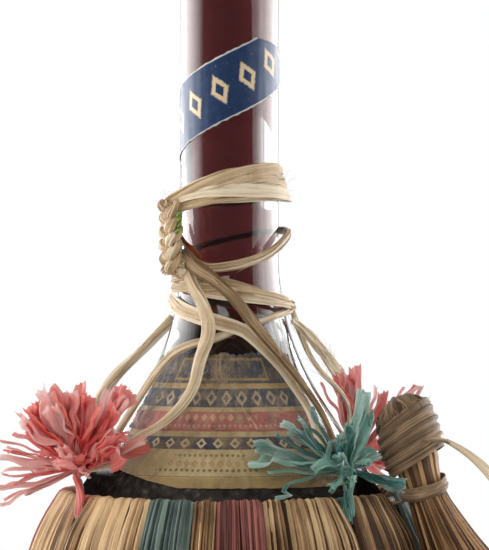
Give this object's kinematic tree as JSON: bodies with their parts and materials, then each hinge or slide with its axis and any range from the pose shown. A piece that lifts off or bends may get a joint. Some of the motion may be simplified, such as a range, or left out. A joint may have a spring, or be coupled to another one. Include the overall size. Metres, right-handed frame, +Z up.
{
  "type": "straw-covered wine flask",
  "caption": "Round-bottomed glass wine flask, corked, in a striped straw basket with raffia ties, pompoms and a straw tassel.",
  "frame": {"origin": "middle of the plane that the foot ring stands on", "axes": "+Z up along the neck, the labelled front towards -Y, +X to its right"},
  "size_m": [0.1566, 0.128, 0.3252],
  "materials": {
    "glass": "clear, faintly green",
    "wine": "deep red, clear",
    "cork": "matte",
    "capsule_foil": "satin, dark red",
    "paper_neck": "satin",
    "paper_upper": "worn, matte",
    "paper_lower": "worn, matte",
    "straw_natural": "matte, fibrous",
    "straw_teal": "dyed, matte",
    "straw_rose": "dyed, matte",
    "raffia_natural": "dry, slightly glossy",
    "raffia_teal": "dyed",
    "raffia_coral": "dyed"
  },
  "bodies": {
    "root": {"glass_flask": "glass", "wine": "wine", "neck_band": "paper_neck", "upper_label": "paper_upper", "lower_label": "paper_lower", "straw_natural": "straw_natural", "foot_ring": "straw_natural", "rim_hoop": "straw_natural", "straw_teal": "straw_teal", "straw_rose": "straw_rose", "girdle": "raffia_natural", "collar_band": "raffia_natural", "neck_winding": "raffia_natural", "plait": "raffia_natural", "tie_knot": "raffia_natural", "front_cord": "raffia_natural", "front_strand": "raffia_natural", "left_arch": "raffia_natural", "left_strand": "raffia_natural", "left_back_strand": "raffia_natural", "right_strand": "raffia_natural", "far_strand": "raffia_natural", "loose_end": "raffia_natural", "front_pompom": "raffia_teal", "far_pompom": "raffia_teal", "front_tie": "raffia_teal", "far_tie": "raffia_teal", "left_pompom": "raffia_coral", "back_pompom": "raffia_coral", "left_tie": "raffia_coral", "back_tie": "raffia_coral"},
    "capsule_body": {"capsule": "capsule_foil"},
    "cork_body": {"cork": "cork"},
    "tassel_body": {"tassel_core": "straw_natural", "tassel_skirt": "straw_natural", "tassel_whipping": "raffia_natural", "tassel_collar": "raffia_natural", "tassel_tail": "raffia_natural"}
  },
  "joints": [
    {"name": "capsule_slide", "type": "slide", "parent": "root", "child": "capsule_body", "axis": [0, 0, 1], "range_m": [0, 0.1]},
    {"name": "cork_slide", "type": "slide", "parent": "root", "child": "cork_body", "axis": [0, 0, 1], "range_m": [0, 0.05]},
    {"name": "tassel_swing", "type": "hinge", "parent": "root", "child": "tassel_body", "pos_m": [0.04746, -0.01634, 0.10101], "axis": [-0.3256, -0.9455, 0], "range_deg": [0, 22]}
  ],
  "couplings": [
    {"joint": "cork_slide", "follows": "capsule_slide", "ratio": 0.5}
  ]
}
